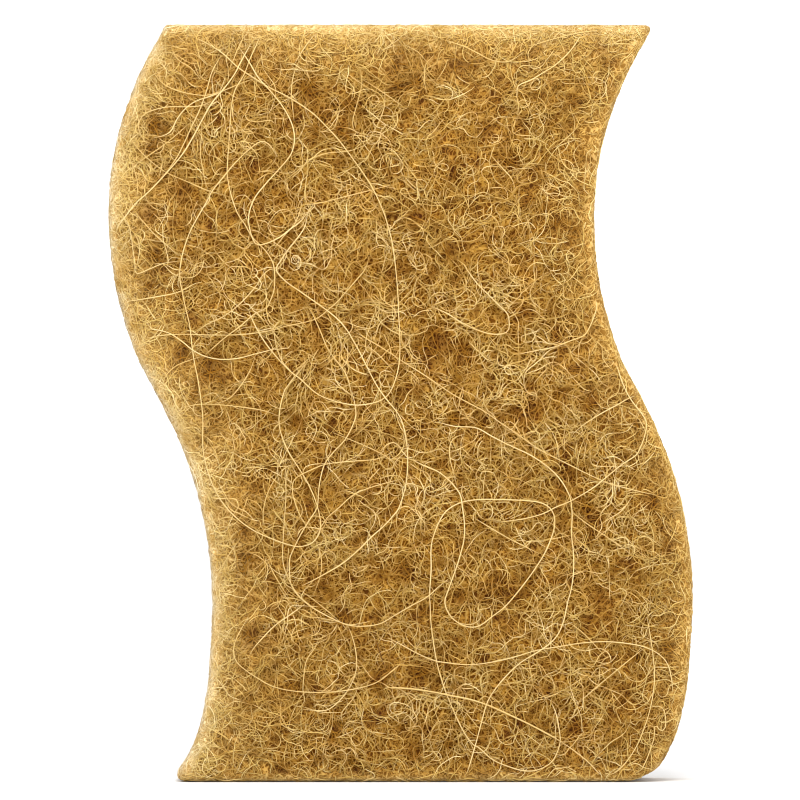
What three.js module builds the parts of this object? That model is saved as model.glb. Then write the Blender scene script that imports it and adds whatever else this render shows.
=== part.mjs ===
import * as THREE from 'three';

// A fibre scrub sponge: one wave-shaped pad of bonded plant fibre.
// Millimetres, +Z up. The pad stands on its short lower edge, and its two
// broad faces look along -Y (front) and +Y (back).

const HEIGHT = 113.2;        // lower edge to upper edge
const THICKNESS = 20;        // front face to back face
const WIDTH_LOW = 71.6;      // across the pad at the lower edge, along X
const WIDTH_HIGH = 73.1;     // across the pad at the upper edge, along X
const RIM_RADIUS = 2.2;      // soft rounding where the broad faces meet the edges

// The wave: how far the middle of the pad lies from X = 0 at each height.
const WAVE = [
  [0, 1.2], [3, 3.4], [6, 5.0], [9, 6.0], [12, 6.6], [15, 7.1], [21, 7.55],
  [27, 7.8], [33, 7.5], [39, 6.6], [45, 5.15], [51, 3.0], [57, 0.15],
  [63, -3.0], [69, -5.1], [75, -6.5], [81, -7.2], [87, -7.25], [93, -6.65],
  [99, -5.15], [105, -2.9], [108, -1.45], [111, 0.2], [113.2, 1.3],
];

// How far each corner of the outline is rounded.
const CORNER_LOW_LEFT = 2.0;
const CORNER_LOW_RIGHT = 3.0;
const CORNER_HIGH_RIGHT = 1.0;
const CORNER_HIGH_LEFT = 0.5;

const SIDE_STEPS = 40;       // along each wavy side
const CORNER_STEPS = 5;      // round each corner
const RIM_STEPS = 4;         // round each rim

const wave = new THREE.SplineCurve(WAVE.map(([z, x]) => new THREE.Vector2(z, x)));
const wavePoints = wave.getPoints(600);

function middle(z) {
  let i = 1;
  while (i < wavePoints.length - 1 && wavePoints[i].x < z) i += 1;
  const a = wavePoints[i - 1];
  const b = wavePoints[i];
  return a.y + ((b.y - a.y) * (z - a.x)) / (b.x - a.x);
}

const halfWidth = (z) => (WIDTH_LOW + ((WIDTH_HIGH - WIDTH_LOW) * z) / HEIGHT) / 2;

// One side of the outline, moved into the pad by inset at right angles to it.
function sideX(side, z, inset) {
  const slope = (middle(Math.min(z + 0.5, HEIGHT)) - middle(Math.max(z - 0.5, 0)))
    / (Math.min(z + 0.5, HEIGHT) - Math.max(z - 0.5, 0));
  return middle(z) + side * (halfWidth(z) - inset * Math.hypot(1, slope));
}

// The outline moved into the pad by inset, anticlockwise from the low left
// corner, with the same number of points for every inset.
function outline(inset) {
  const low = inset;
  const high = HEIGHT - inset;
  const round = (radius) => Math.max(radius - inset, 0.25);
  const points = [];
  const at = (x, z) => new THREE.Vector2(x, z);

  function corner(side, z, into, radius, first) {
    const tip = at(sideX(side, z, inset), z);
    const onSide = at(sideX(side, z + into * radius, inset), z + into * radius);
    const onEdge = at(tip.x - side * radius, z);
    const [from, to] = first === 'side' ? [onSide, onEdge] : [onEdge, onSide];
    points.push(...new THREE.QuadraticBezierCurve(from, tip, to).getPoints(CORNER_STEPS));
  }

  function run(side, from, to) {
    for (let i = 1; i < SIDE_STEPS; i += 1) {
      const z = from + ((to - from) * i) / SIDE_STEPS;
      points.push(at(sideX(side, z, inset), z));
    }
  }

  const lowLeft = round(CORNER_LOW_LEFT);
  const lowRight = round(CORNER_LOW_RIGHT);
  const highRight = round(CORNER_HIGH_RIGHT);
  const highLeft = round(CORNER_HIGH_LEFT);
  corner(-1, low, 1, lowLeft, 'side');
  corner(1, low, 1, lowRight, 'edge');
  run(1, low + lowRight, high - highRight);
  corner(1, high, -1, highRight, 'side');
  corner(-1, high, -1, highLeft, 'edge');
  run(-1, high - highLeft, low + lowLeft);
  return points;
}

// The layers of the pad from its back face to its front face: each has a
// depth and the inset of its outline, and the first and last few turn the rims.
function layers() {
  const list = [];
  const straight = THICKNESS / 2 - RIM_RADIUS;
  for (let i = 0; i <= RIM_STEPS; i += 1) {
    const turn = ((1 - i / RIM_STEPS) * Math.PI) / 2;
    list.push({
      depth: straight + RIM_RADIUS * Math.sin(turn),
      inset: RIM_RADIUS * (1 - Math.cos(turn)),
    });
  }
  return [...list, ...list.slice().reverse().map(({ depth, inset }) => ({ depth: -depth, inset }))];
}

function padGeometry() {
  const base = outline(0);
  const stack = layers();
  const loops = stack.map(({ inset }) => outline(inset));
  const geometry = new THREE.ExtrudeGeometry(new THREE.Shape(base), {
    depth: stack.length - 1,
    steps: stack.length - 1,
    bevelEnabled: false,
    curveSegments: 1,
  });
  const key = (x, y) => `${x.toFixed(4)},${y.toFixed(4)}`;
  const index = new Map(base.map((p, i) => [key(Math.fround(p.x), Math.fround(p.y)), i]));
  const position = geometry.getAttribute('position');
  for (let i = 0; i < position.count; i += 1) {
    const layer = Math.round(position.getZ(i));
    const point = loops[layer][index.get(key(position.getX(i), position.getY(i)))];
    position.setXYZ(i, point.x, stack[layer].depth, point.y);
  }
  geometry.computeBoundingBox();
  const { min, max } = geometry.boundingBox;
  geometry.translate(-(min.x + max.x) / 2, 0, 0);
  geometry.computeVertexNormals();
  return geometry;
}

const fibre = new THREE.MeshStandardMaterial({ color: 0xb98a3c, roughness: 0.92, metalness: 0 });

const fibrePad = new THREE.Mesh(padGeometry(), fibre);
fibrePad.name = 'fibre_pad';

const sponge = new THREE.Group();
sponge.name = 'fibre_scrub_sponge';
sponge.add(fibrePad);

export default sponge;
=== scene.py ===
import math
import bpy
import numpy as np
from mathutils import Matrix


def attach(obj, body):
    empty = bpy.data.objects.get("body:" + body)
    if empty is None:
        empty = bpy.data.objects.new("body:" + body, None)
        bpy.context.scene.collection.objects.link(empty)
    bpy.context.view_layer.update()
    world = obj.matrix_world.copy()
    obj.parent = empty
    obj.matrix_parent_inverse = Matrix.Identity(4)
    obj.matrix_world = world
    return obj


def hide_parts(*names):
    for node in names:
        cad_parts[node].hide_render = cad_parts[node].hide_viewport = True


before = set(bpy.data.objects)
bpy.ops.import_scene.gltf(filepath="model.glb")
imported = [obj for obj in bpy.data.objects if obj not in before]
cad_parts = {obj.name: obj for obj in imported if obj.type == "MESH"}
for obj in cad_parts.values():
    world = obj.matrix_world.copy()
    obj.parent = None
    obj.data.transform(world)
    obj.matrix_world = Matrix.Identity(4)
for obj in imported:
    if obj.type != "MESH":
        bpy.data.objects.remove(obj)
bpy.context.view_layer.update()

# Lengths here are millimetres until a mesh is made, which is in metres.
MM = 0.001

HEIGHT = 113.2
THICKNESS = 20.0
WIDTH_LOW = 71.6
WIDTH_HIGH = 73.1
RIM = 2.2
WAVE = np.array(
    [
        (0, 1.2), (3, 3.4), (6, 5.0), (9, 6.0), (12, 6.6), (15, 7.1), (21, 7.55),
        (27, 7.8), (33, 7.5), (39, 6.6), (45, 5.15), (51, 3.0), (57, 0.15),
        (63, -3.0), (69, -5.1), (75, -6.5), (81, -7.2), (87, -7.25), (93, -6.65),
        (99, -5.15), (105, -2.9), (108, -1.45), (111, 0.2), (113.2, 1.3),
    ]
)
MIDDLE_SHIFT = -0.055
CORNERS = {"low_left": 2.0, "low_right": 3.0, "high_right": 1.0, "high_left": 0.5}


# ---------------------------------------------------------------- the pad's shape


def catmull(points, steps):
    """A smooth curve through points, with steps places between each pair."""
    p = np.asarray(points, float)
    p = np.vstack([2 * p[0] - p[1], p, 2 * p[-1] - p[-2]])
    out = []
    t = np.arange(steps)[:, None] / steps
    for i in range(1, len(p) - 2):
        a, b, c, d = p[i - 1 : i + 3]
        out.append(
            0.5
            * (
                2 * b
                + (c - a) * t
                + (2 * a - 5 * b + 4 * c - d) * t**2
                + (3 * b - a - 3 * c + d) * t**3
            )
        )
    out.append(p[-2][None])
    return np.vstack(out)


_wave = catmull(WAVE, 24)
_grid = np.linspace(0, HEIGHT, 1200)
_middle = np.interp(_grid, _wave[:, 0], _wave[:, 1]) + MIDDLE_SHIFT
_slope = np.gradient(_middle, _grid)


def middle(z):
    return np.interp(z, _grid, _middle)


def slope(z):
    return np.interp(z, _grid, _slope)


def outline_distance(x, z):
    """How far a point is outside the pad's outline, seen from the front. Inside is negative."""
    s = np.sqrt(1 + slope(z) ** 2)
    u = (x - middle(z)) / s
    half = (WIDTH_LOW + (WIDTH_HIGH - WIDTH_LOW) * np.clip(z / HEIGHT, 0, 1)) / 2 / s
    v = z - HEIGHT / 2
    corner = np.where(
        v < 0,
        np.where(u < 0, CORNERS["low_left"], CORNERS["low_right"]),
        np.where(u < 0, CORNERS["high_left"], CORNERS["high_right"]),
    )
    qu = np.abs(u) - (half - corner)
    qv = np.abs(v) - (HEIGHT / 2 - corner)
    return (
        np.hypot(np.maximum(qu, 0), np.maximum(qv, 0))
        + np.minimum(np.maximum(qu, qv), 0)
        - corner
    )


def pad_distance(p):
    """How far points are outside the pad's skin. Inside is negative."""
    a = outline_distance(p[:, 0], p[:, 2]) + RIM
    b = np.abs(p[:, 1]) - THICKNESS / 2 + RIM
    return (
        np.hypot(np.maximum(a, 0), np.maximum(b, 0))
        + np.minimum(np.maximum(a, b), 0)
        - RIM
    )


def outward(p):
    """The skin's direction out of the pad at each point."""
    e = 0.08
    g = np.empty_like(p)
    for k in range(3):
        q = p.copy()
        q[:, k] += e
        r = p.copy()
        r[:, k] -= e
        g[:, k] = pad_distance(q) - pad_distance(r)
    return g / np.maximum(np.linalg.norm(g, axis=1, keepdims=True), 1e-9)


def to_depth(p, depth, rounds=2):
    """Moves points to the given depth under the skin, and gives the direction out there too."""
    for _ in range(rounds):
        n = outward(p)
        p = p - n * (pad_distance(p) + depth)[:, None]
    return p, n


def waves(seed, count, low, high):
    """A smooth random field over space, with an even mix of wavelengths from low to high, in millimetres."""
    rng = np.random.default_rng(seed)
    k = rng.normal(size=(count, 3))
    k /= np.linalg.norm(k, axis=1, keepdims=True)
    k *= (2 * np.pi / rng.uniform(low, high, count))[:, None]
    phase = rng.uniform(0, 2 * np.pi, count)

    def field(p):
        return np.cos(p @ k.T + phase).sum(1) * math.sqrt(2 / count)

    return field


lumps = waves(11, 48, 1.9, 4.2)  # tufts and hollows
patches = waves(12, 24, 7.0, 15.0)  # denser and looser patches


def smooth(a, b, x):
    t = np.clip((x - a) / (b - a), 0, 1)
    return t * t * (3 - 2 * t)


def rim_and_lit_side_share(p):
    """How much a place belongs to the pale, finer rim of cut fibre ends: 1 at the left and top rims, less at the right,
    little at the bottom, and less again along the middle of the cut sides. The weights of the sides are painted light:
    the left and top rims are made paler as if lit from the upper left, the right and bottom less so.
    """
    x, z = p[:, 0], p[:, 2]
    s = np.sqrt(1 + slope(z) ** 2)
    across = (x - middle(z)) / s
    half = (WIDTH_LOW + (WIDTH_HIGH - WIDTH_LOW) * np.clip(z / HEIGHT, 0, 1)) / 2 / s
    # Painted light: the left rim weighs more than the right because light falls from the upper left.
    left = np.exp((-across - half) / 3.6)
    right = 0.38 * np.exp((across - half) / 2.8) + 0.25 * np.exp((across - half) / 0.5)
    side = np.where(across < 0, left, right)
    # Painted light: the top rim weighs more than the bottom because light falls from above.
    share = np.maximum(side, np.maximum(0.84 * np.exp((z - HEIGHT) / 3.6), 0.72 * np.exp(-((z / 0.9) ** 2))))
    return np.clip(share, 0, 1) * (1 - 0.45 * smooth(2.5, 6.0, THICKNESS / 2 - np.abs(p[:, 1])))


# The larger pockets of the front face, as places and radii in the photograph's frame.
POCKETS = np.array(
    [
        (434, 344, 15), (462, 352, 10), (148, 213, 9), (183, 192, 9), (308, 92, 11), (155, 255, 8),
        (496, 591, 10), (253, 635, 10), (399, 88, 9), (588, 509, 8), (566, 473, 8), (244, 559, 9),
        (506, 162, 10), (346, 105, 8), (157, 127, 9), (149, 287, 8), (486, 130, 8), (398, 60, 8),
        (210, 366, 10), (403, 566, 9), (531, 404, 9), (599, 598, 8), (180, 356, 8), (456, 67, 8),
        (459, 594, 8), (420, 672, 9),
    ],
    float,
)


def pockets(p):
    x, z = (POCKETS[:, 0] - 400) * 0.15, (780 - POCKETS[:, 1]) * 0.15
    r = POCKETS[:, 2] * 0.15
    far = (np.hypot(p[:, :1] - x, p[:, 2:] - z) / r).min(1)
    return np.exp(-0.7 * np.maximum(far + 0.18 * lumps(p), 0) ** 2) * (p[:, 1] < 0)


def hollow(p):
    """How far the web sinks at a place: 0 on tufts, up to about 1 in hollows."""
    deep = smooth(0.1, 2.0, -lumps(p) - 0.25 * patches(p))
    return np.maximum(deep * (1 - 0.75 * rim_and_lit_side_share(p)), pockets(p))


# ---------------------------------------------------------------- meshes


def mesh_object(name, verts, loops, starts, uv=None, attributes=None):
    me = bpy.data.meshes.new(name)
    me.vertices.add(len(verts))
    me.vertices.foreach_set("co", np.ascontiguousarray(verts * MM, np.float32).ravel())
    me.loops.add(len(loops))
    me.loops.foreach_set("vertex_index", loops.astype(np.int32))
    me.polygons.add(len(starts))
    me.polygons.foreach_set("loop_start", starts.astype(np.int32))
    me.polygons.foreach_set("use_smooth", np.ones(len(starts), bool))
    me.update(calc_edges=True)
    if uv is not None:
        layer = me.uv_layers.new(name="OFBake")
        layer.data.foreach_set("uv", np.ascontiguousarray(uv, np.float32).ravel())
    for key, values in (attributes or {}).items():
        at = me.attributes.new(key, "FLOAT", "POINT")
        at.data.foreach_set("value", np.ascontiguousarray(values, np.float32))
    ob = bpy.data.objects.new(name, me)
    bpy.context.scene.collection.objects.link(ob)
    return ob


def strands_object(name, lines, material, sides=3, row=170):
    """One mesh of closed tubes. Each line is a dict with points (n, 3), out (n, 3), radius (n,), tone and deep (n,)."""
    verts, loops, starts, uvs, tone, deep, edge = [], [], [], [], [], [], []
    base = at = 0
    total = sum(len(l["points"]) for l in lines)
    rows = int(total / (row - 44)) + 3
    column = line_row = 0
    ring = 2 * np.pi * (np.arange(sides) + 0.25) / sides
    for l in lines:
        p, out, r = l["points"], l["out"], l["radius"]
        n = len(p)
        t = np.gradient(p, axis=0)
        t /= np.maximum(np.linalg.norm(t, axis=1, keepdims=True), 1e-9)
        b = np.cross(t, out)
        b /= np.maximum(np.linalg.norm(b, axis=1, keepdims=True), 1e-9)
        a = np.cross(b, t)
        v = (
            p[:, None]
            + r[:, None, None]
            * (
                np.cos(ring)[None, :, None] * a[:, None]
                + np.sin(ring)[None, :, None] * b[:, None]
            )
        ).reshape(-1, 3)
        j = np.arange(n - 1)[:, None] * sides
        k = np.arange(sides)[None]
        k2 = (k + 1) % sides
        quads = np.stack([j + k, j + k2, j + sides + k2, j + sides + k], -1).reshape(-1, 4)
        ends = np.stack([np.arange(sides)[::-1], (n - 1) * sides + np.arange(sides)])
        verts.append(v)
        loops.append((base + np.concatenate([quads.ravel(), ends.ravel()])))
        starts.append(at + np.concatenate([np.arange(len(quads)) * 4, len(quads) * 4 + np.arange(2) * sides]))
        # Each strand is a strip of its own on the map, and its sides share it.
        if column + n + 2 > row:
            column, line_row = 0, line_row + 1
        u = (column + 0.5 + np.arange(n)) / row
        lo, hi = (line_row + 0.12) / rows, (line_row + 0.88) / rows
        ju = np.repeat(u[:-1], sides)
        ju2 = np.repeat(u[1:], sides)
        lo_, hi_ = np.full_like(ju, lo), np.full_like(ju, hi)
        quad_uv = np.stack(
            [np.stack([ju, lo_], -1), np.stack([ju, hi_], -1), np.stack([ju2, hi_], -1), np.stack([ju2, lo_], -1)], 1
        )
        turn = np.stack([np.cos(ring), np.sin(ring)], -1)
        cap = [
            np.stack([u[0] + 0.3 / row * turn[::-1, 0], (lo + hi) / 2 + 0.3 / rows * turn[::-1, 1]], -1),
            np.stack([u[-1] + 0.3 / row * turn[:, 0], (lo + hi) / 2 + 0.3 / rows * turn[:, 1]], -1),
        ]
        uvs.append(np.concatenate([quad_uv.reshape(-1, 2), *cap]))
        column += n + 1
        tone.append(np.full(n * sides, l["tone"]))
        deep.append(np.repeat(l["deep"], sides))
        edge.append(np.repeat(l["edge"], sides))
        base += n * sides
        at += len(quads) * 4 + 2 * sides
    ob = mesh_object(
        name,
        np.concatenate(verts),
        np.concatenate(loops),
        np.concatenate(starts),
        np.concatenate(uvs),
        {"tone": np.concatenate(tone), "deep": np.concatenate(deep), "edge": np.concatenate(edge)},
    )
    ob.data.materials.append(material)
    return ob


# ---------------------------------------------------------------- where strands grow


def cad_triangles():
    node = bpy.data.objects["fibre_pad"]
    me = node.data
    me.calc_loop_triangles()
    co = np.empty(len(me.vertices) * 3, np.float32)
    me.vertices.foreach_get("co", co)
    co = co.reshape(-1, 3).astype(float) / MM
    tri = np.empty(len(me.loop_triangles) * 3, np.int32)
    me.loop_triangles.foreach_get("vertices", tri)
    return co[tri.reshape(-1, 3)]


triangles = cad_triangles()
_cross = np.cross(triangles[:, 1] - triangles[:, 0], triangles[:, 2] - triangles[:, 0])
_area = np.linalg.norm(_cross, axis=1) / 2
_normal = _cross / np.maximum(2 * _area[:, None], 1e-9)


def seeds(rng, count, where):
    """Random places on the part of the skin that where(normal, triangle centre) picks."""
    pick = where(_normal, triangles.mean(1))
    weight = _area * pick
    i = rng.choice(len(triangles), count, p=weight / weight.sum())
    a, b = rng.random((2, count))
    a, b = np.where(a + b > 1, 1 - a, a), np.where(a + b > 1, 1 - b, b)
    t = triangles[i]
    return t[:, 0] + a[:, None] * (t[:, 1] - t[:, 0]) + b[:, None] * (t[:, 2] - t[:, 0])


def front(n, c):
    return n[:, 1] < -0.6


def back(n, c):
    return n[:, 1] > 0.6


def sides_all(n, c):
    return np.abs(n[:, 1]) <= 0.6


def grow(seed, count, where, step, steps, depth, curl, radius, sink, keep=None, rise=0.16, pitch=(1.2, 3.0)):
    """Curly strands that wander over the skin at a depth under it, all at once. depth and radius are (low, high), curl is the usual radius of a curl and steps is (fewest, most)."""
    rng = np.random.default_rng(seed)
    p = seeds(rng, count, where)
    if keep is not None:
        p = p[rng.random(len(p)) < keep(p)]
        count = len(p)
    base = rng.uniform(depth[0], depth[1], count)
    p, n = to_depth(p, base)
    t = rng.normal(size=(count, 3))
    t -= n * (t * n).sum(1, keepdims=True)
    t /= np.linalg.norm(t, axis=1, keepdims=True)
    lively = np.exp(rng.normal(0, 0.4, count)) / curl
    usual = rng.normal(0, 0.35, count) * lively
    bend = usual + rng.normal(0, 0.9, count) * lively
    phase = rng.uniform(0, 2 * np.pi, count)
    pitch = rng.uniform(pitch[0], pitch[1], count)
    most = steps[1]
    length = rng.integers(steps[0], steps[1] + 1, count)
    points, outs, depths = [], [], []
    for i in range(most):
        wave = np.sin(phase + 2 * np.pi * i * step / pitch)
        down = base + rise * (1 + wave) * 0.5 + sink * hollow(p)
        p, n = to_depth(p, down, 1)
        p, n = to_depth(p, down, 1)
        p[:, 2] = np.maximum(p[:, 2], 0.11)
        points.append(p.copy())
        outs.append(n.copy())
        depths.append(down.copy())
        t -= n * (t * n).sum(1, keepdims=True)
        t /= np.maximum(np.linalg.norm(t, axis=1, keepdims=True), 1e-9)
        hold = math.exp(-step / 1.1)
        bend = usual + (bend - usual) * hold + rng.normal(0, 0.9 * math.sqrt(1 - hold * hold), count) * lively
        turn = bend * step
        t = t * np.cos(turn)[:, None] + np.cross(n, t) * np.sin(turn)[:, None]
        p = p + t * step
    points = np.stack(points, 1)
    outs = np.stack(outs, 1)
    depths = np.stack(depths, 1)
    flat = points.reshape(-1, 3)
    sunk = hollow(flat)
    rims = (rim_and_lit_side_share(flat) * (1 - 0.7 * sunk)).reshape(depths.shape)
    # Painted shade: strands darken with depth, in hollows and pockets, and a little in the looser patches.
    painted_pit_shade = (0.4 * sunk - 0.06 * patches(flat) + 0.2 * pockets(flat)).reshape(depths.shape)
    thick = rng.uniform(radius[0], radius[1], count)
    tone = rng.random(count)
    lines = []
    for i in range(count):
        m = length[i]
        r = np.full(m, thick[i])
        r[0] *= 0.55
        r[-1] *= 0.55
        lines.append(
            {
                "points": points[i, :m],
                "out": outs[i, :m],
                "radius": r,
                "tone": tone[i],
                "deep": np.clip(depths[i, :m] / 1.8 + painted_pit_shade[i, :m], 0, 1),
                "edge": rims[i, :m],
            }
        )
    return lines


def lay(points_px, width, tone=0.5, ends=0.5, step=0.6, seed=0):
    """A long coarse strand laid on the front face along places given in the photograph's frame."""
    rng = np.random.default_rng(seed)
    px = catmull(points_px, 12)
    x = (px[:, 0] - 400) * 0.15
    z = (780 - px[:, 1]) * 0.15
    s = np.concatenate([[0], np.cumsum(np.hypot(np.diff(x), np.diff(z)))])
    n = max(int(s[-1] / step) + 1, 5)
    at = np.linspace(0, s[-1], n)
    x, z = np.interp(at, s, x), np.interp(at, s, z)
    p = np.stack([x, np.full(n, -THICKNESS / 2), z], 1)
    radius = (0.05 + width * 0.019) * np.ones(n)
    reach = np.minimum(at, s[-1] - at)
    radius *= 0.45 + 0.55 * smooth(0, 3.0, reach)
    radius *= 1 + 0.1 * np.sin(at * rng.uniform(0.5, 1.1) + rng.uniform(0, 6))
    wander = 0.10 * np.sin(at * rng.uniform(0.25, 0.5) + rng.uniform(0, 6)) + 0.05 * np.sin(at * 1.7 + rng.uniform(0, 6))
    depth = 0.10 - 0.12 * tone - radius * 0.5 + 0.7 * wander + ends * (1 - smooth(0, 2.2, reach))
    p, out = to_depth(p, depth, 3)
    p[:, 2] = np.maximum(p[:, 2], radius + 0.01)
    return {"points": p, "out": out, "radius": radius, "tone": tone, "deep": np.zeros(n), "edge": np.zeros(n)}


# ---------------------------------------------------------------- materials


def nodes_of(mat):
    mat.use_nodes = True
    nt = mat.node_tree
    nt.nodes.clear()
    return nt


def make(nt, kind, x=0, y=0, **settings):
    node = nt.nodes.new(kind)
    node.location = (x, y)
    for key, value in settings.items():
        setattr(node, key, value)
    return node


def ramp(nt, stops, x=0, y=0):
    node = make(nt, "ShaderNodeValToRGB", x, y)
    el = node.color_ramp.elements
    while len(el) > 1:
        el.remove(el[-1])
    el[0].position, el[0].color = stops[0][0], (*stops[0][1], 1)
    for place, colour in stops[1:]:
        e = el.new(place)
        e.color = (*colour, 1)
    return node


def strand_material(name, tones, lit_near_tones, lit_rim_tones, painted_shade_tint, roughness=0.62, amber_share=0.6):
    """Tones are (place, colour) stops picked by the strand's own random number. Toward the rim they turn to brighter
    near tones and then to pale rim tones: partly the cut rim's own paler fibre ends, partly painted light on the lit
    left and top rims and on rims curving away from the lamps. They are darkened with the strand's depth and in hollows
    and pockets, which is painted shade.
    """
    mat = bpy.data.materials.new(name)
    nt = nodes_of(mat)
    out = make(nt, "ShaderNodeOutputMaterial", 900, 0)
    bsdf = make(nt, "ShaderNodeBsdfPrincipled", 620, 0)
    nt.links.new(bsdf.outputs[0], out.inputs[0])
    tone = make(nt, "ShaderNodeAttribute", -900, 200, attribute_name="tone")
    deep = make(nt, "ShaderNodeAttribute", -900, -100, attribute_name="deep")
    coords = make(nt, "ShaderNodeTexCoord", -1100, 0)
    patch = make(nt, "ShaderNodeTexNoise", -900, 0)
    patch.inputs["Scale"].default_value = 160.0
    patch.inputs["Detail"].default_value = 2.0
    nt.links.new(coords.outputs["Object"], patch.inputs["Vector"])
    add = make(nt, "ShaderNodeMath", -700, 150, operation="MULTIPLY_ADD")
    nt.links.new(patch.outputs["Fac"], add.inputs[0])
    add.inputs[1].default_value = 0.65
    nt.links.new(tone.outputs["Fac"], add.inputs[2])
    shift = make(nt, "ShaderNodeMath", -540, 150, operation="SUBTRACT")
    shift.inputs[1].default_value = 0.30
    nt.links.new(add.outputs[0], shift.inputs[0])
    colours = ramp(nt, tones, -380, 150)
    nt.links.new(shift.outputs[0], colours.inputs[0])
    # Pale rim colours: partly the cut fibre ends' own colour, partly painted light.
    rims = ramp(nt, lit_rim_tones, -380, -80)
    nt.links.new(shift.outputs[0], rims.inputs[0])
    edge = make(nt, "ShaderNodeAttribute", -380, 380, attribute_name="edge")
    near = make(nt, "ShaderNodeMix", -200, 260, data_type="RGBA")
    nt.links.new(edge.outputs["Fac"], near.inputs[0])
    nt.links.new(colours.outputs[0], near.inputs[6])
    # Brighter tones near the rims: painted light for rims curving away from the lamps.
    lit_near_ramp = ramp(nt, lit_near_tones, -380, -600)
    nt.links.new(shift.outputs[0], lit_near_ramp.inputs[0])
    nt.links.new(lit_near_ramp.outputs[0], near.inputs[7])
    square = make(nt, "ShaderNodeMath", -200, 400, operation="MULTIPLY")
    nt.links.new(edge.outputs["Fac"], square.inputs[0])
    nt.links.new(edge.outputs["Fac"], square.inputs[1])
    fourth = make(nt, "ShaderNodeMath", -140, 400, operation="MULTIPLY")
    nt.links.new(square.outputs[0], fourth.inputs[0])
    nt.links.new(square.outputs[0], fourth.inputs[1])
    both = make(nt, "ShaderNodeMix", -80, 150, data_type="RGBA")
    nt.links.new(fourth.outputs[0], both.inputs[0])
    nt.links.new(near.outputs[2], both.inputs[6])
    nt.links.new(rims.outputs[0], both.inputs[7])
    # Painted shade: darker with depth and in hollows and pockets.
    dark = make(nt, "ShaderNodeMix", 100, 100, data_type="RGBA", blend_type="MULTIPLY")
    nt.links.new(deep.outputs["Fac"], dark.inputs[0])
    nt.links.new(both.outputs[2], dark.inputs[6])
    dark.inputs[7].default_value = (*painted_shade_tint, 1)
    amber = make(nt, "ShaderNodeTexNoise", -380, -350)
    amber.inputs["Scale"].default_value = 240.0
    amber.inputs["Detail"].default_value = 1.5
    nt.links.new(coords.outputs["Object"], amber.inputs["Vector"])
    warmth = ramp(nt, [(0.47, (1.0, 1.0, 1.0)), (0.70, (0.95, 0.78, 0.48))], -180, -350)
    nt.links.new(amber.outputs["Fac"], warmth.inputs[0])
    warm = make(nt, "ShaderNodeMix", 330, 150, data_type="RGBA", blend_type="MULTIPLY")
    warm.inputs[0].default_value = amber_share
    nt.links.new(dark.outputs[2], warm.inputs[6])
    nt.links.new(warmth.outputs[0], warm.inputs[7])
    nt.links.new(warm.outputs[2], bsdf.inputs["Base Color"])
    bsdf.inputs["Specular IOR Level"].default_value = 0.12
    grain = make(nt, "ShaderNodeTexNoise", 100, -300)
    grain.inputs["Scale"].default_value = 2600.0
    grain.inputs["Detail"].default_value = 2.0
    nt.links.new(coords.outputs["Object"], grain.inputs["Vector"])
    rough = make(nt, "ShaderNodeMapRange", 330, -150)
    rough.inputs["To Min"].default_value = roughness - 0.1
    rough.inputs["To Max"].default_value = roughness + 0.15
    nt.links.new(grain.outputs["Fac"], rough.inputs["Value"])
    nt.links.new(rough.outputs[0], bsdf.inputs["Roughness"])
    bm = make(nt, "ShaderNodeBump", 330, -350)
    bm.inputs["Strength"].default_value = 0.35
    bm.inputs["Distance"].default_value = 0.00003
    nt.links.new(grain.outputs["Fac"], bm.inputs["Height"])
    nt.links.new(bm.outputs[0], bsdf.inputs["Normal"])
    return mat


def line_of(nt, source, half, x, y):
    """1 along the middle of a line and 0 from its half width on."""
    line = make(nt, "ShaderNodeMapRange", x, y, interpolation_type="SMOOTHSTEP")
    line.inputs["From Min"].default_value = half
    line.inputs["From Max"].default_value = half * 0.25
    nt.links.new(source, line.inputs["Value"])
    return line.outputs[0]


def curls(nt, vector, scale, seed, half, x, y):
    """Thin curly lines: where a soft noise crosses its middle value."""
    noise = make(nt, "ShaderNodeTexNoise", x, y, noise_dimensions="4D")
    noise.inputs["Scale"].default_value = scale
    noise.inputs["Detail"].default_value = 0.6
    noise.inputs["W"].default_value = seed
    nt.links.new(vector, noise.inputs["Vector"])
    off = make(nt, "ShaderNodeMath", x + 180, y, operation="SUBTRACT")
    off.inputs[1].default_value = 0.5
    nt.links.new(noise.outputs["Fac"], off.inputs[0])
    size = make(nt, "ShaderNodeMath", x + 340, y, operation="ABSOLUTE")
    nt.links.new(off.outputs[0], size.inputs[0])
    return line_of(nt, size.outputs[0], half, x + 500, y)


def meshes_of_lines(nt, vector, scale, half, x, y):
    """A net of thin lines around small cells."""
    cells = make(nt, "ShaderNodeTexVoronoi", x, y, voronoi_dimensions="3D", feature="DISTANCE_TO_EDGE")
    cells.inputs["Scale"].default_value = scale
    nt.links.new(vector, cells.inputs["Vector"])
    return line_of(nt, cells.outputs["Distance"], half, x + 500, y)


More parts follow.
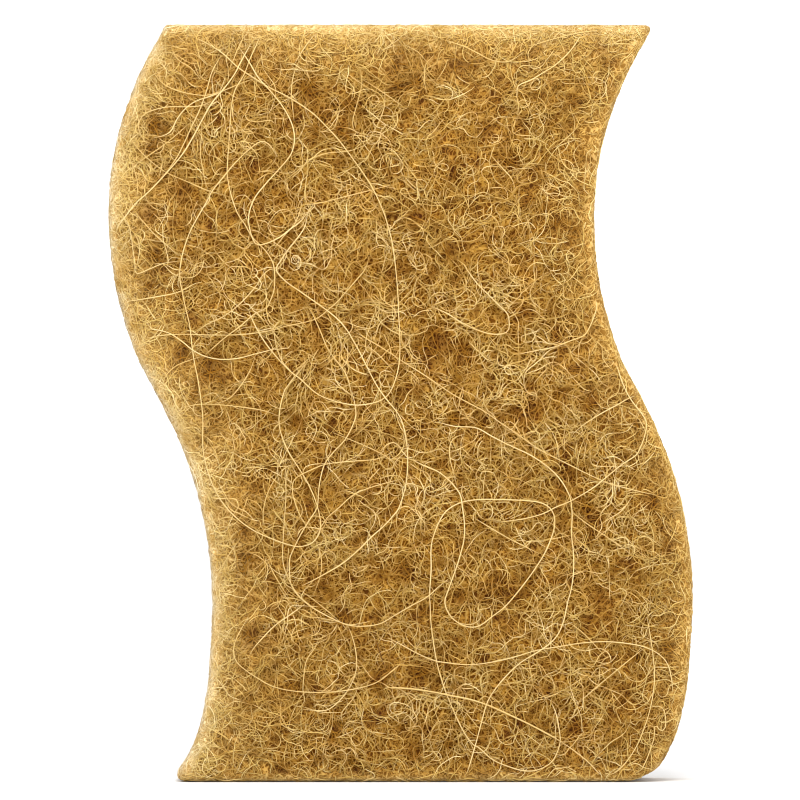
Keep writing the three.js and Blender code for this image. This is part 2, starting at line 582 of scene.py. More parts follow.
def body_material():
    mat = bpy.data.materials.new("pad_web")
    nt = nodes_of(mat)
    out = make(nt, "ShaderNodeOutputMaterial", 2200, 0)
    bsdf = make(nt, "ShaderNodeBsdfPrincipled", 1900, 0)
    nt.links.new(bsdf.outputs[0], out.inputs[0])
    coords = make(nt, "ShaderNodeTexCoord", -1500, 0)
    warp = make(nt, "ShaderNodeTexNoise", -1300, -200)
    warp.inputs["Scale"].default_value = 800.0
    warp.inputs["Detail"].default_value = 1.0
    nt.links.new(coords.outputs["Object"], warp.inputs["Vector"])
    centre = make(nt, "ShaderNodeVectorMath", -1100, -200, operation="SUBTRACT")
    centre.inputs[1].default_value = (0.5, 0.5, 0.5)
    nt.links.new(warp.outputs["Color"], centre.inputs[0])
    bent = make(nt, "ShaderNodeVectorMath", -900, -100, operation="MULTIPLY_ADD")
    bent.inputs[1].default_value = (0.0011, 0.0011, 0.0011)
    nt.links.new(centre.outputs[0], bent.inputs[0])
    nt.links.new(coords.outputs["Object"], bent.inputs[2])
    sets = [
        (meshes_of_lines(nt, bent.outputs[0], 1250.0, 0.075, -600, 600), 0.75),
        (curls(nt, bent.outputs[0], 1000.0, 9.1, 0.055, -600, 100), 1.0),
        (curls(nt, bent.outputs[0], 1500.0, 13.9, 0.065, -600, -150), 0.6),
    ]
    last = None
    for i, (line, h) in enumerate(sets):
        scaled = make(nt, "ShaderNodeMath", 150, 600 - 250 * i, operation="MULTIPLY")
        scaled.inputs[1].default_value = h
        nt.links.new(line, scaled.inputs[0])
        if last is None:
            last = scaled.outputs[0]
            continue
        top = make(nt, "ShaderNodeMath", 350, 600 - 250 * i, operation="MAXIMUM")
        nt.links.new(last, top.inputs[0])
        nt.links.new(scaled.outputs[0], top.inputs[1])
        last = top.outputs[0]
    mottle = make(nt, "ShaderNodeTexNoise", 150, -900)
    mottle.inputs["Scale"].default_value = 210.0
    mottle.inputs["Detail"].default_value = 3.0
    nt.links.new(coords.outputs["Object"], mottle.inputs["Vector"])
    # The dark low end is painted shade in the gaps between the deeper strands; the high end is the strands' own colour.
    inner = ramp(
        nt,
        [(0.0, (0.10, 0.034, 0.0015)), (0.3, (0.16, 0.060, 0.004)), (0.6, (0.29, 0.145, 0.017)), (1.0, (0.39, 0.22, 0.04))],
        900,
        300,
    )
    nt.links.new(last, inner.inputs[0])
    # Brighter toward the rims: partly the rim's own paler, tighter fibre ends, partly painted light on the lit left and
    # top rims.
    rim = ramp(
        nt,
        [(0.0, (0.42, 0.25, 0.05)), (0.4, (0.55, 0.36, 0.10)), (0.75, (0.65, 0.465, 0.165)), (1.0, (0.74, 0.57, 0.26))],
        900,
        0,
    )
    nt.links.new(last, rim.inputs[0])
    edge = make(nt, "ShaderNodeAttribute", 700, -300, attribute_name="edge")
    # Painted shade: darker in hollows and pockets.
    pit_shade = make(nt, "ShaderNodeAttribute", 700, 560, attribute_name="pit_shade")
    sunk = make(nt, "ShaderNodeMix", 1060, 420, data_type="RGBA", blend_type="MULTIPLY")
    nt.links.new(pit_shade.outputs["Fac"], sunk.inputs[0])
    nt.links.new(inner.outputs[0], sunk.inputs[6])
    sunk.inputs[7].default_value = (0.42, 0.32, 0.20, 1)
    mix = make(nt, "ShaderNodeMix", 1250, 200, data_type="RGBA")
    nt.links.new(edge.outputs["Fac"], mix.inputs[0])
    nt.links.new(sunk.outputs[2], mix.inputs[6])
    nt.links.new(rim.outputs[0], mix.inputs[7])
    # Pale cream at the very rim: partly the cut fibre ends' own colour, partly painted light, strongest on the left and
    # top rims.
    pale_lit_rim = ramp(
        nt,
        [(0.0, (0.44, 0.32, 0.155)), (0.4, (0.55, 0.43, 0.25)), (0.75, (0.64, 0.54, 0.35)), (1.0, (0.72, 0.64, 0.46))],
        900,
        -900,
    )
    nt.links.new(last, pale_lit_rim.inputs[0])
    square = make(nt, "ShaderNodeMath", 900, -300, operation="MULTIPLY")
    nt.links.new(edge.outputs["Fac"], square.inputs[0])
    nt.links.new(edge.outputs["Fac"], square.inputs[1])
    fourth = make(nt, "ShaderNodeMath", 1060, -300, operation="MULTIPLY")
    nt.links.new(square.outputs[0], fourth.inputs[0])
    nt.links.new(square.outputs[0], fourth.inputs[1])
    outer = make(nt, "ShaderNodeMix", 1380, 200, data_type="RGBA")
    nt.links.new(fourth.outputs[0], outer.inputs[0])
    nt.links.new(mix.outputs[2], outer.inputs[6])
    nt.links.new(pale_lit_rim.outputs[0], outer.inputs[7])
    warm = ramp(nt, [(0.3, (0.80, 0.70, 0.55)), (0.5, (1.0, 0.95, 0.88)), (0.7, (1.0, 1.0, 1.0))], 900, -600)
    nt.links.new(mottle.outputs["Fac"], warm.inputs[0])
    tint = make(nt, "ShaderNodeMix", 1500, 100, data_type="RGBA", blend_type="MULTIPLY")
    tint.inputs[0].default_value = 1.0
    nt.links.new(outer.outputs[2], tint.inputs[6])
    nt.links.new(warm.outputs[0], tint.inputs[7])
    nt.links.new(tint.outputs[2], bsdf.inputs["Base Color"])
    rough = make(nt, "ShaderNodeMapRange", 1500, -200)
    rough.inputs["To Min"].default_value = 0.9
    rough.inputs["To Max"].default_value = 0.7
    nt.links.new(last, rough.inputs["Value"])
    nt.links.new(rough.outputs[0], bsdf.inputs["Roughness"])
    bsdf.inputs["Specular IOR Level"].default_value = 0.1
    bm = make(nt, "ShaderNodeBump", 1500, -450)
    bm.inputs["Strength"].default_value = 0.7
    bm.inputs["Distance"].default_value = 0.0002
    nt.links.new(last, bm.inputs["Height"])
    nt.links.new(bm.outputs[0], bsdf.inputs["Normal"])
    return mat


# ---------------------------------------------------------------- the pad's body


def pad_body():
    node = bpy.data.objects["fibre_pad"]
    me = node.data.copy()
    me.name = "pad_body"
    ob = bpy.data.objects.new("pad_body", me)
    bpy.context.scene.collection.objects.link(ob)
    mod = ob.modifiers.new("remesh", "REMESH")
    mod.mode = "VOXEL"
    mod.voxel_size = 1.2 * MM
    mod.adaptivity = 0
    dg = bpy.context.evaluated_depsgraph_get()
    fine = bpy.data.meshes.new_from_object(ob.evaluated_get(dg), depsgraph=dg)
    ob.modifiers.clear()
    ob.data = fine
    fine.name = "pad_body"
    n = len(fine.vertices)
    co = np.empty(n * 3, np.float32)
    fine.vertices.foreach_get("co", co)
    p = co.reshape(-1, 3).astype(float) / MM
    edge = rim_and_lit_side_share(p)
    wall = 1 - smooth(0.3, 2.4, -outline_distance(p[:, 0], p[:, 2]))
    depth = 0.13 + 1.12 * (1 - edge) * (1 - wall) + 0.9 * hollow(p) * (1 - 0.8 * edge) * (1 - 0.85 * wall)
    p, _ = to_depth(p, depth, 4)
    fine.vertices.foreach_set("co", np.ascontiguousarray(p * MM, np.float32).ravel())
    fine.polygons.foreach_set("use_smooth", np.ones(len(fine.polygons), bool))
    # The rim share carries the pale rim with its painted light, and the hollow value carries painted shade for hollows
    # and pockets, into the material.
    at = fine.attributes.new("edge", "FLOAT", "POINT")
    at.data.foreach_set("value", (edge * (1 - 0.7 * hollow(p))).astype(np.float32))
    at = fine.attributes.new("pit_shade", "FLOAT", "POINT")
    at.data.foreach_set("value", hollow(p).astype(np.float32))
    fine.materials.clear()
    fine.materials.append(body_material())
    fine.update()
    return ob


body = pad_body()
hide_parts("fibre_pad")
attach(body, "root")

# ---------------------------------------------------------------- the strands

gold = [
    (0.0, (0.35, 0.20, 0.036)),
    (0.3, (0.47, 0.30, 0.070)),
    (0.6, (0.58, 0.41, 0.130)),
    (0.85, (0.67, 0.50, 0.205)),
    (1.0, (0.75, 0.59, 0.29)),
]
# Brighter tones near the rims: painted light for rims curving away from the lamps, and the fibres' own golden colour
# there.
lit_rim_gold = [
    (0.0, (0.54, 0.345, 0.075)),
    (0.4, (0.62, 0.425, 0.108)),
    (0.75, (0.69, 0.50, 0.15)),
    (1.0, (0.76, 0.58, 0.22)),
]
# Pale cream rim tones: partly the cut fibre ends' own colour, partly painted light on the lit left and top rims.
pale = [
    (0.0, (0.585, 0.475, 0.315)),
    (0.4, (0.64, 0.545, 0.39)),
    (0.75, (0.695, 0.61, 0.46)),
    (1.0, (0.75, 0.68, 0.545)),
]
coarse = [
    (0.0, (0.12, 0.05, 0.012)),
    (0.3, (0.42, 0.25, 0.06)),
    (0.6, (0.50, 0.335, 0.115)),
    (0.8, (0.55, 0.385, 0.15)),
    (1.0, (0.61, 0.445, 0.20)),
]
# The last colour given is a painted shade tint for deep strands, hollows and pockets.
strand_mat = strand_material("fibre_gold", gold, lit_rim_gold, pale, (0.49, 0.305, 0.06))
coarse_mat = strand_material("fibre_coarse", coarse, coarse, coarse, (0.7, 0.55, 0.35), roughness=0.5, amber_share=0.3)


def piece(name, lines, material, **more):
    ob = strands_object(name, lines, material, **more)
    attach(ob, "root")
    return ob


def inner(p):
    return (1 - 0.2 * rim_and_lit_side_share(p)) * (1 - 0.5 * hollow(p)) * (1 - 0.6 * pockets(p))


def tufts(p):
    return (1 - 0.5 * rim_and_lit_side_share(p)) * (1 - 0.65 * hollow(p)) * (1 - 0.7 * pockets(p))


def border(p):
    return smooth(0.3, 0.85, rim_and_lit_side_share(p))


piece("web_front_deep", grow(21, 2150, front, 0.58, (9, 20), (0.7, 1.1), 1.6, (0.060, 0.080), 0.6, inner, rise=0.25, pitch=(2.5, 5)), strand_mat)
piece("web_front_mid", grow(22, 2500, front, 0.58, (9, 20), (0.3, 0.7), 1.6, (0.057, 0.077), 0.5, inner, rise=0.35, pitch=(2.5, 5)), strand_mat)
piece("web_front_top", grow(23, 2900, front, 0.58, (8, 18), (0.02, 0.3), 1.6, (0.054, 0.074), 0.25, tufts, rise=0.4, pitch=(2.5, 5)), strand_mat)
piece("rim_front", grow(26, 50000, front, 0.5, (4, 10), (0.02, 0.2), 1.4, (0.045, 0.062), 0.0, border), strand_mat)
piece("web_back", grow(24, 2150, back, 0.64, (9, 20), (0.03, 0.7), 1.8, (0.062, 0.082), 0.3, inner, rise=0.3, pitch=(2.5, 5)), strand_mat)
piece("web_sides", grow(25, 3250, sides_all, 0.55, (6, 13), (0.03, 0.14), 1.7, (0.055, 0.075), 0.05, rise=0.1, pitch=(2.5, 5)), strand_mat)

# Long coarse strands, placed by the photograph: (places, width in pixels, tone).
LONG = [
    ([(251.8, 43.6), (240.3, 64.6), (235.2, 74.8), (225, 88.9), (212.2, 104.2), (202, 122), (193.1, 138.6), (182.9, 155.2), (168.9, 171.8), (151, 190.9), (135.7, 204.9), (124, 220), (117.9, 228), (113.5, 236)], 2.2, 1.0),
    ([(262, 32), (256.9, 45.5), (250.5, 59.5), (244.1, 76.1), (235.2, 91.4), (231.4, 109.3), (230.1, 128.4), (228.8, 147.6), (227.6, 166.7), (227.6, 176.9), (231.4, 196), (237.8, 214), (245.4, 225.5), (251.8, 237), (260.7, 245.9), (268.4, 254.8), (273.5, 265.1), (274.7, 276.5), (274.1, 289.3), (270.9, 299.5), (265.8, 308.4), (254.3, 314.2), (240.3, 326.3), (225, 337.8), (205.9, 354.3)], 1.6, 0.75),
    ([(246.7, 32.8), (239, 48), (235, 58), (228, 75)], 1.5, 0.7),
    ([(221.2, 57), (212.2, 73.6), (207.1, 91.4), (200.8, 109.3), (191.8, 128.4), (182.9, 147.6), (175.3, 161.6), (163, 178)], 1.5, 0.75),
    ([(239, 48.7), (249.2, 63.4), (258.2, 78.7), (269.6, 91.4), (281.1, 105.5), (290.1, 120.8), (293.9, 133.5), (293.9, 145), (290.1, 156.5), (278.6, 170.5), (265.8, 184.5), (255.6, 197.3), (250.5, 208.8), (248.6, 220), (251, 234), (256.3, 244.6), (265.8, 244), (278.6, 238.3), (288.8, 230.6), (300, 222.2), (307.4, 213)], 2.0, 1.0),
    ([(307.4, 214), (304.8, 226.8), (298.5, 237), (288.3, 249.7), (280.6, 261.2), (276.1, 270.2), (285.7, 281.6), (298.5, 290.6), (311.2, 299.5), (324, 308.4), (336.7, 318.6), (345.7, 328.8), (352, 339), (358.4, 350.5), (364.8, 363.3), (371.2, 376), (377.6, 387.5), (386, 399), (399, 416), (405, 436), (407, 460), (405, 484), (399, 505), (394.7, 512.1), (383.4, 524.7), (370.8, 535.9), (356.8, 549.9), (341.4, 562.6), (327.3, 571), (314.7, 578), (302.1, 584.3)], 1.9, 0.95),
    ([(189.3, 36.6), (205.9, 44.2), (222.4, 54.4), (237.8, 68.5), (253.1, 78.7), (269.6, 88.9), (285, 96.5), (300, 105.5), (314, 115.7), (328.1, 129.7), (339.5, 142.4), (351, 157.8), (361.2, 171.8), (370.2, 185.8), (377.6, 200), (383.9, 215.3), (387.8, 228.1), (391.6, 243.4), (394.1, 261.2), (396, 279.1), (397.3, 296.9), (398, 314.8), (399, 333.9), (399.2, 350.5), (398, 365.8), (394.1, 381.1), (387.8, 394), (376.4, 401.5), (358.2, 404.7), (341.4, 402.6), (325.3, 397.7), (313.8, 391.3), (300, 378.6), (291.3, 372.2), (281.1, 362), (272.2, 351.8), (264.5, 341.6), (258.2, 331.4), (251.8, 318.6), (248.6, 309.7)], 1.8, 0.85),
    ([(170.2, 44.2), (175.3, 57), (181.6, 63.4), (191.8, 69.7), (200.8, 81.2)], 1.4, 0.6),
    ([(148.5, 62.1), (154.8, 74.8), (163.8, 85), (176.5, 91.4), (191.8, 95.3), (207.1, 96.5), (221.2, 92.7), (233.9, 87.6), (246.7, 82.5), (255.6, 79.9)], 1.4, 0.6),
    ([(154.8, 138.6), (163.8, 136.7), (171.4, 132.2), (176.5, 122), (181.6, 114.4), (189.3, 106.7), (198.2, 101.6), (209.7, 97.8), (219.9, 94), (227.6, 90.2)], 1.7, 0.9),
    ([(148.5, 146.3), (140.8, 134.8), (139.5, 124.6), (144.6, 115.7), (156.1, 110.6), (170.2, 108), (186.7, 108), (202, 106.7), (212.2, 101.6)], 1.4, 0.7),
    ([(129.3, 173), (138.3, 164.1), (151, 155.2), (163.8, 146.3), (176.5, 136.1), (189.3, 124.6)], 1.2, 0.6),
    ([(125.5, 131), (137, 147.6), (151, 161.6), (166.3, 173), (186.7, 182), (207.1, 190.9), (225, 196)], 1.2, 0.6),
    ([(202, 125.9), (201.4, 142.4), (200.8, 155.2), (203.3, 170.5), (205.9, 184.5), (208.4, 189.6)], 1.4, 0.65),
    ([(277.3, 157.8), (270.9, 147.6), (264.5, 142.7), (258.2, 143.7), (246.7, 152.7), (233.9, 165.4), (222.4, 179.4), (212.2, 192.2), (208.4, 200), (199.5, 215.3), (191.8, 229.3), (186.7, 242.1), (182.9, 254.8), (180.6, 267.6), (180.4, 279.1), (182.9, 293.1), (186.1, 308.4), (189.3, 321.2), (191.2, 333.9), (192.5, 346.7), (195, 363.3), (198.2, 378.6), (201.4, 400), (203.2, 418.1), (203.2, 446.1), (206, 463), (212.3, 482.6), (222.1, 500.8), (236.1, 516.3), (253, 528.9), (271.2, 537.3), (286.6, 542.9), (299.3, 545.5), (311.9, 541.5), (318.2, 533.1), (320.3, 521.9), (316.1, 502.3), (307.7, 482.6), (299.3, 468.6), (289.4, 453.1), (282.4, 437.7), (278.9, 422.3), (280.3, 405.4), (284.5, 390), (287, 386.2), (294.6, 376), (304.8, 364.5)], 1.8, 0.85),
    ([(115.3, 134.8), (123, 148.8), (130.6, 160.3), (135.7, 173), (138.3, 185.8), (137, 205)], 1.3, 0.6),
    ([(300, 59.5), (293.9, 74.8), (291.3, 91.4), (292.6, 109.3), (293.9, 122)], 1.4, 0.65),
    ([(581.2, 29.4), (578.6, 37.4), (571.9, 48.1), (563.8, 57.5), (553.1, 66.9), (542.4, 73.6), (530.4, 80.9), (517, 87), (515.8, 95), (515.6, 103)], 1.9, 0.95),
    ([(440.3, 40.4), (463.4, 48.1), (476.8, 54.8), (490.2, 61.5), (503.6, 63.5), (512.9, 60.2), (522.3, 53.5)], 1.4, 0.75),
    ([(490.2, 60.8), (494, 55), (501, 47)], 1.4, 0.75),
    ([(522.3, 47.5), (533, 46.1), (546.4, 42.1), (563.8, 37.4), (581.2, 33.4), (604, 29.4)], 1.3, 0.65),
    ([(508.9, 33.4), (510.9, 46.8), (511.6, 60.2)], 1.2, 0.6),
    ([(522, 48), (527, 57.5), (527.7, 73.6)], 1.2, 0.6),
    ([(490.2, 156.6), (500.9, 168.7), (510.3, 179.4), (514.3, 191.4)], 1.3, 0.65),
    ([(547.8, 150.6), (557.1, 145.9), (570.5, 133.8), (577, 127)], 1.2, 0.6),
    ([(436.6, 421.5), (454.4, 425.9), (474.8, 427.2), (491.4, 436.1), (509.3, 445.1), (525.9, 452.7), (538.6, 460.4), (550.1, 469.3), (560.3, 480.8), (566.7, 492.2), (569.2, 499.9), (570.5, 513.9), (569.9, 533.1), (571.8, 552.2), (571.8, 571.3), (569.5, 588), (565.9, 601), (562.4, 617.9), (556.8, 631.9), (548.4, 641.7), (534.3, 651.6), (520.3, 660), (509.1, 669.8), (496.5, 683.8), (486.6, 699.3), (481, 717.5), (475.4, 738.6), (469.8, 758.2), (464.2, 776.5)], 2.0, 0.95),
    ([(355.9, 332.7), (371.2, 341.6), (387.8, 351.8), (403.1, 362), (419.6, 372.2), (434.9, 382.4), (451.9, 394), (468.5, 403), (483.8, 411.3), (499.1, 422.1), (514.4, 432.3), (528.4, 442.5), (542.4, 451.4), (557.8, 459.1), (573.1, 466.7), (585.8, 473.1), (607.2, 482.6), (623.3, 487), (640.9, 491.4), (655.6, 494.3)], 1.4, 0.7),
    ([(429.1, 608), (428.8, 590), (430.2, 568), (430.2, 545.8), (434, 530.5), (440.4, 516.5), (448.1, 507.6), (460.8, 501.2), (477.4, 498.6), (499.1, 498.6), (519.5, 499.3), (537.3, 501.2), (547.6, 506.3), (552.7, 515.2), (552.7, 526.7), (548.8, 539.4), (542.4, 553.5), (533.5, 567.5), (524.6, 580), (514.7, 592.6), (503.5, 605.3), (490.8, 615.1), (479.6, 623.5), (469.8, 625.6), (458.6, 622.1), (448.8, 613.7), (443.8, 601), (447.3, 588.4), (455.7, 565), (459.5, 552.2), (462.7, 539.4), (463.4, 524.1), (461.5, 507.6), (459.5, 494.8), (455.7, 488.4), (448.1, 479.5), (436.6, 470.6), (420, 463.5), (410, 458)], 2.2, 0.9),
    ([(429.4, 600), (429.8, 618), (431.9, 636.1), (436.1, 661.4), (443.1, 685.2), (451.6, 706.3), (461.4, 727.3), (471.2, 741.4), (478.2, 745.6), (490.8, 756.8), (506.3, 763.8), (524.5, 768.7), (538.6, 766.6), (551.2, 758.2), (558.2, 741.4), (557.5, 727.3), (554, 710.5), (548.4, 697.9)], 1.9, 0.85),
    ([(480, 436.1), (474.8, 443.8), (472.3, 454)], 1.8, 0.8),
    ([(502.9, 520.3), (522, 517.8), (541.2, 512.7), (553.9, 506.3), (569.2, 499.9), (591.1, 487), (605.7, 475.2), (620.4, 463.5), (633.6, 454.7), (638, 447.4), (642.4, 435.6), (644.6, 420.9), (639.5, 412.1), (630.7, 401.9), (623.3, 388.7), (618.2, 374), (617.5, 359.3)], 1.9, 0.9),
    ([(474.8, 517.8), (491.4, 528), (509.3, 538.2), (524.6, 545.8), (537.3, 552.2)], 1.7, 0.75),
    ([(570.5, 511.4), (582, 520.3), (591.1, 526.6), (608.7, 538.3), (629.2, 553)], 1.5, 0.7),
    ([(594, 526.6), (607.2, 517.8), (620.4, 509), (632.1, 492.8)], 1.5, 0.7),
    ([(463.4, 433.6), (453.2, 437.4), (448.7, 446.3), (449.3, 459.1), (453.2, 474.4), (455.7, 484.6)], 1.4, 0.7),
    ([(638.7, 393.1), (627.7, 397.5), (614.5, 404.8), (598.4, 413.6), (582.3, 423.9), (572, 432.7)], 1.6, 0.8),
    ([(485, 469), (482.5, 482), (482.5, 498.6)], 1.3, 0.65),
    ([(538.6, 459.1), (548.8, 471.8)], 2.0, 0.85),
    ([(384.2, 685.2), (408.1, 686.6), (429.1, 689.4), (450.2, 693.6), (471.2, 697.9), (489.4, 704.2), (506.3, 711.9), (527.3, 721.7), (548.4, 732.9), (562, 741)], 4.0, 0.7),
    ([(560, 740), (566.6, 744.2), (577.6, 752.2), (589.3, 762.4), (596.7, 771.2), (599.6, 777.8)], 2.0, 0.95),
    ([(387, 636.1), (401, 643.1), (416.5, 651.6), (433.3, 658.6), (450.2, 661.4), (469.8, 662.8), (492.3, 660), (513.3, 655.1), (534.3, 648.8), (560, 644.4), (579.1, 641.4), (601.1, 639.9), (623.1, 641.4), (642.1, 645.1), (656.8, 652.4), (665.6, 662.7), (669.3, 677.4), (670.8, 690.6)], 1.8, 0.85),
    ([(248.1, 615.8), (238.9, 631.9), (234.4, 643.1), (234, 651.6), (236.8, 660), (245.9, 668.4), (258.6, 676.8), (271.2, 683.8), (286.6, 688), (306.3, 690.1), (327.3, 690.1), (348.4, 688), (369.4, 683.1), (382, 676.8), (393.3, 667), (401, 661.4)], 1.5, 0.75),
    ([(304.9, 602.4), (289.4, 613.7), (275.4, 623.5), (262.8, 636.1), (253, 647.4), (248.8, 655.8)], 1.7, 0.95),
    ([(351.2, 390), (354.7, 405.4), (354.7, 418.1), (345.6, 437.7), (332.9, 451.7), (324.5, 463), (320.3, 477), (318.2, 491), (316.8, 506.5), (309.1, 519.1), (300.7, 533.1), (293.7, 547.1), (289.4, 558.4), (289.4, 572.4), (291, 583), (296.5, 592.6), (309.1, 603.9), (323.1, 612.3), (337.1, 619.3), (348.4, 623.5), (362.4, 624.6), (379.2, 622.1), (394, 613.7), (410.9, 603.9), (426.3, 595.4), (438.9, 584.2), (447, 578)], 1.6, 0.85),
    ([(347, 623.5), (351.2, 633.3), (354.7, 645.9), (356.1, 660), (354.7, 672.6), (348.4, 686.6), (338.5, 699.3), (327.3, 707.7), (314.7, 708.4), (300.7, 707)], 1.5, 0.8),
    ([(318.9, 634.7), (314.7, 645.9), (306.3, 658.6), (303.5, 675.4), (302.8, 689.4), (304.2, 699.3), (296.5, 709.1)], 1.3, 0.65),
    ([(358.2, 683.8), (352.6, 696.5), (341.4, 710.5), (342.1, 720.3)], 1.2, 0.7),
    ([(299.3, 703.5), (320.3, 709.8), (341.4, 710.5)], 1.2, 0.7),
    ([(284.5, 378), (300, 366), (317.5, 350)], 1.2, 0.6),
    ([(278.2, 584.2), (286.6, 596.8), (295.1, 606.7)], 1.2, 0.6),
    ([(216.5, 657.2), (233.3, 662.1)], 1.4, 0.75),
    ([(300.7, 614.4), (320.3, 616.5), (334.3, 619.3), (348, 623)], 1.2, 0.6),
    ([(117.9, 206.4), (124.2, 216.6), (129.3, 225.5), (131.9, 235.7), (133.8, 251), (135.7, 263.8), (137, 274), (151, 268.9), (163.8, 263.8), (180.4, 261.2)], 1.5, 0.75),
    ([(114, 238.3), (125.5, 233.2), (138.3, 226.1)], 1.5, 0.8),
    ([(131.9, 230.6), (138.3, 239.5), (140.2, 251), (138.3, 262.5), (136.4, 271.4)], 1.4, 0.7),
    ([(130.6, 233.2), (124.2, 247.2), (116.6, 256.1)], 1.3, 0.7),
    ([(133.2, 211.5), (143.4, 221.7), (154.8, 234.4), (168.9, 247.2), (179, 256.1)], 1.4, 0.75),
    ([(121, 302.4), (138.3, 300.1), (157.4, 296.9), (174, 293.7), (184.2, 289.9), (194.4, 284.2), (202, 282.3)], 1.7, 0.9),
    ([(145.3, 319.9), (152.3, 328.8), (159.9, 330.1), (171.4, 333.9), (182.9, 341.6), (193.1, 349.9), (205.9, 356.3), (221.2, 359.2), (237.8, 358.2), (253.1, 354.3), (265.8, 351.1), (277.3, 348)], 2.0, 1.0),
    ([(144.6, 338.4), (163.8, 335.2), (182.9, 334.2), (208.4, 334.9), (233.9, 334.9), (253.1, 333.3), (272.2, 330.1), (285, 326.3), (298.5, 323.7), (316.3, 318.6), (327.8, 309.7), (336.7, 302), (345.7, 291.8), (354.6, 281.6), (364.8, 268.9), (368.6, 256.1)], 1.4, 0.7),
    ([(193.1, 333.3), (208.4, 323.7), (222.4, 317.3), (236.5, 307.1), (249.2, 294.4), (259.4, 281.6), (263.3, 272.7)], 1.4, 0.75),
    ([(308.7, 308.4), (313.8, 317.3), (320.2, 331.4), (326.5, 346.7), (334.2, 358.2), (343.1, 369.6), (348.2, 381.1), (352, 400)], 1.4, 0.75),
    ([(273, 321.2), (274.2, 333.9), (276.8, 348), (281.9, 360.7), (289.5, 369.6), (294.6, 376)], 1.4, 0.7),
    ([(355.9, 344.1), (371.2, 349.2), (383.9, 360.7), (394.1, 372.2)], 1.2, 0.65),
    ([(279.3, 316.1), (293.4, 312.2), (307.4, 307.1)], 1.2, 0.65),
    ([(273, 251), (283.2, 237), (294.6, 224.2), (301, 207.7), (301.7, 198)], 1.3, 0.75),
    ([(360, 71), (361.2, 86.3), (356.1, 106.7), (352.3, 122), (353.6, 131), (357.4, 134.8)], 1.3, 0.6),
    ([(383.5, 88.9), (384.2, 104.2), (380.4, 118.2), (374, 131), (365, 145)], 1.3, 0.6),
    ([(294, 66), (300, 55.7), (307.7, 44.2), (317.9, 31.5)], 1.6, 0.85),
    ([(284, 182), (300, 169.2), (312.8, 159), (328.1, 153.9), (348.5, 152), (363.8, 146.3)], 1.3, 0.65),
    ([(300, 205.6), (319.1, 203.7), (344.6, 197.3), (370.2, 190.9), (389.3, 185.8)], 1.3, 0.65),
    ([(432.7, 57), (425, 65.9), (423.7, 81.2), (425.6, 94)], 1.2, 0.65),
    ([(446.7, 60.8), (442.9, 71), (435.2, 82.5)], 1.2, 0.65),
    ([(381.6, 142.4), (384.8, 155.2)], 1.2, 0.7),
    ([(442.9, 119.5), (433.9, 131), (423.7, 142.4)], 1.4, 0.65),
    ([(343.4, 72.3), (357.4, 82.5), (375.3, 94)], 1.2, 0.6),
    ([(361.2, 79.9), (379.1, 91.4), (404.6, 109.3)], 1.2, 0.6),
    ([(462.5, 265.1), (475.3, 282.9), (486.7, 294.4), (496.9, 304.6), (505.9, 313.5), (507.8, 321.2), (507.1, 330.1), (500.8, 333.9), (489.3, 333.9), (476.5, 330.1), (462.5, 323.7), (445.9, 313.5), (430.6, 306.5)], 1.7, 0.9),
    ([(516.1, 354.3), (533.9, 350.5), (553.1, 346.7), (569.6, 340.3), (582.4, 335.2), (588.8, 325), (593.9, 312.2), (599, 297)], 1.6, 0.85),
    ([(400, 339), (406.4, 350.5), (410.2, 360.7)], 1.3, 0.65),
    ([(523.7, 212.8), (527.6, 225.5), (531.4, 238.3)], 1.2, 0.6),
    ([(576.6, 359), (576.8, 350), (578.6, 341.6), (582.4, 335.2)], 1.4, 0.65),
    ([(563.3, 271.4), (578.6, 282.9), (591.3, 291.8)], 1.2, 0.6),
    ([(180, 408.2), (198.2, 404), (219.3, 404.3), (243.1, 406.8), (264.2, 410.3), (278.2, 415.3)], 1.3, 0.65),
    ([(255, 357), (250.5, 369.6), (242.9, 382.4), (233.9, 393.9), (226, 400), (215, 403.5)], 1.5, 0.75),
    ([(162, 388), (166, 376), (176, 366), (190, 360), (203, 356)], 1.3, 0.65),
    ([(282.4, 468.6), (274, 479.8), (267, 493.8), (263.5, 509.3), (262.8, 524.7)], 1.3, 0.65),
    ([(289.4, 464.4), (285.9, 477), (285.9, 495.2), (284.5, 516.3), (283.1, 537.3), (282.7, 558.4), (285.2, 569.6), (290.8, 582.2), (299.3, 594.9), (313.3, 606)], 1.4, 0.7),
    ([(393.3, 449.6), (384.9, 455.2), (373.6, 458.8), (355.4, 460.2), (338.6, 461.6), (324.5, 463.7), (311.9, 468.6), (300.7, 474.2), (293.7, 479.8), (292.3, 491), (295.1, 502.3), (299.3, 513.5), (306.3, 524.7), (311.9, 531.7)], 1.4, 0.75),
    ([(332.9, 432.1), (348.4, 438.4), (366.6, 446.1), (383.4, 454.5), (400, 465.8)], 1.3, 0.65),
    ([(312, 536), (320.3, 526.1), (327.3, 516.3), (338.6, 506.5), (351.2, 495.2), (365.2, 488.2), (383.4, 482.6), (400, 478.4)], 1.5, 0.75),
    ([(214.4, 586.4), (217.9, 573.8), (229.1, 553.5), (240.3, 537.3)], 1.3, 0.65),
    ([(314.7, 538.7), (320.3, 552.8), (321, 569.6), (316.1, 586.4), (311.9, 594.9)], 1.2, 0.6),
    ([(265.6, 555.6), (275.4, 575.2), (289.4, 597.7)], 1.2, 0.6),
    ([(299.3, 588.4), (313.3, 598.2), (327.3, 609.5), (340, 620.7)], 1.2, 0.65),
    ([(645.1, 615.7), (648, 633.4), (650.9, 653.9), (652.4, 674.4), (650.9, 692), (647.3, 709.6), (642.1, 725.8), (634.8, 743.4), (623.1, 761), (605.5, 777.5)], 1.6, 0.8),
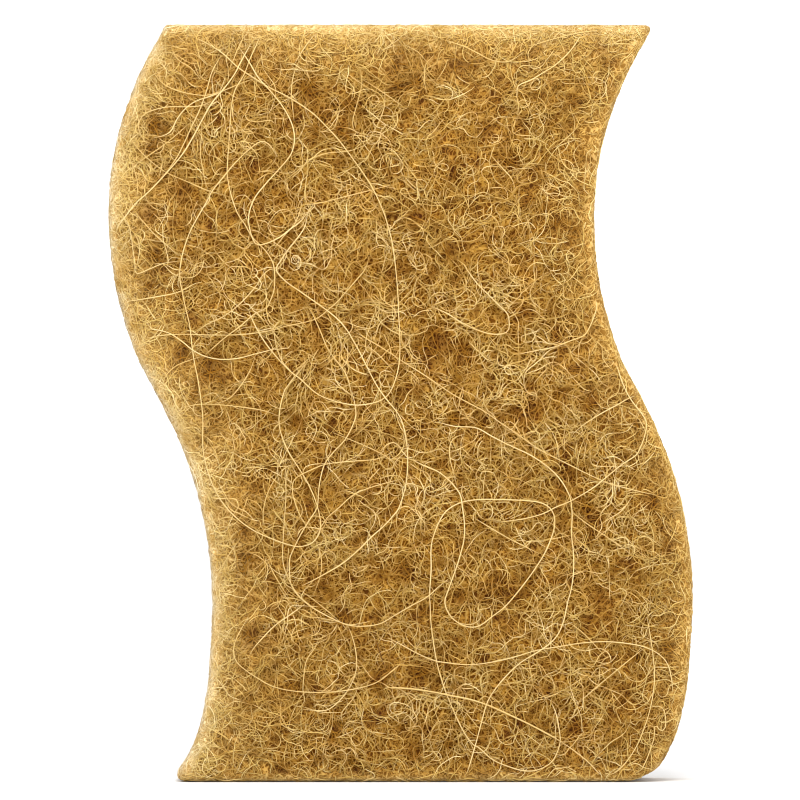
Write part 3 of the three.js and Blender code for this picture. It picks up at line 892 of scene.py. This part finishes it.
    ([(641.4, 707.4), (650.9, 704.5), (659.8, 705.2), (663.4, 715.5), (662.7, 725.8), (658.3, 728.7), (653.1, 722.8), (651.7, 736), (646.5, 752.2), (640.7, 765.4), (634.8, 777.1)], 1.4, 0.75),
    ([(643.6, 645.1), (628.9, 656.8), (612.8, 670), (595.2, 684.7), (579.1, 698.6)], 1.4, 0.75),
    ([(587.9, 671.5), (574.7, 680.3), (560, 689.1)], 1.2, 0.65),
    ([(593.7, 755.1), (608.4, 740.4), (621.6, 731.6), (628.9, 719.9)], 1.2, 0.65),
    ([(564.4, 618.7), (582, 631.9), (605.5, 656.8)], 1.3, 0.6),
    ([(579.1, 696.4), (571.7, 712.6), (562.9, 725.8)], 1.2, 0.6),
    ([(511.9, 666.3), (524.5, 666.3), (535.7, 667)], 1.5, 0.8),
    ([(531.5, 655.8), (537.2, 662.8), (541.4, 676.8)], 1.4, 0.75),
    ([(542.8, 735.7), (535.7, 747), (528.7, 755.4)], 1.2, 0.6),
    ([(512.6, 777.5), (520.3, 769.4)], 1.8, 0.8),
    ([(401, 661.4), (391.2, 669.8), (380, 676.8)], 1.3, 0.7),
    ([(580.6, 697.9), (591.9, 688), (598.9, 683.8)], 1.4, 0.85),
    ([(373.6, 633.3), (379.2, 650.2), (384.9, 668.4)], 1.4, 0.0),
    ([(563.5, 579), (567, 585), (569, 592)], 6.0, 0.3),
]
long_lines = [
    lay(points, width, tone=tone, seed=500 + i) for i, (points, width, tone) in enumerate(LONG)
]
piece("long_fibres", long_lines, coarse_mat, sides=5, row=260)

# ---------------------------------------------------------------- the scene


def floor_object():
    verts = np.array([(-4000, -3000, 0), (4000, -3000, 0), (4000, 6000, 0), (-4000, 6000, 0)], float)
    ob = mesh_object("floor", verts, np.arange(4), np.array([0]))
    mat = bpy.data.materials.new("floor_white")
    nt = nodes_of(mat)
    out = make(nt, "ShaderNodeOutputMaterial", 400, 0)
    bsdf = make(nt, "ShaderNodeBsdfPrincipled", 100, 0)
    bsdf.inputs["Base Color"].default_value = (0.80, 0.80, 0.80, 1)
    bsdf.inputs["Roughness"].default_value = 0.9
    bsdf.inputs["Specular IOR Level"].default_value = 0.0
    nt.links.new(bsdf.outputs[0], out.inputs[0])
    ob.data.materials.append(mat)
    return ob


floor_object()

scene = bpy.context.scene
world = bpy.data.worlds.new("studio")
scene.world = world
world.use_nodes = True
bg = world.node_tree.nodes["Background"]
bg.inputs[0].default_value = (1.0, 1.0, 1.0, 1)
bg.inputs[1].default_value = 1.36


def area(name, place, target, size, power):
    light = bpy.data.lights.new(name, "AREA")
    light.shape = "RECTANGLE"
    light.size, light.size_y = size
    light.energy = power
    ob = bpy.data.objects.new(name, light)
    ob.location = place
    d = np.array(target) - np.array(place)
    import mathutils

    ob.rotation_euler = mathutils.Vector(d).to_track_quat("-Z", "Y").to_euler()
    scene.collection.objects.link(ob)
    return ob


area("key", (0.02, -0.27, 0.225), (0, 0, 0.06), (0.12, 0.12), 0.97)
area("fill", (0.12, -0.45, 0.03), (0, 0, 0.04), (0.35, 0.06), 0.5)

camera = bpy.data.cameras.new("camera")
camera.sensor_width = 36.0
camera.lens = 452.5
camera.clip_start = 0.05
camera.clip_end = 50.0
cam = bpy.data.objects.new("camera", camera)
cam.location = (-0.00011, -0.010 - 1.5, 0.05706)
cam.rotation_euler = (math.pi / 2, 0, 0)
scene.collection.objects.link(cam)
scene.camera = cam

scene.cycles.use_denoising = True
scene.cycles.filter_width = 1.15
scene.view_settings.view_transform = "Standard"
scene.view_settings.look = "None"
scene.view_settings.exposure = 0.0
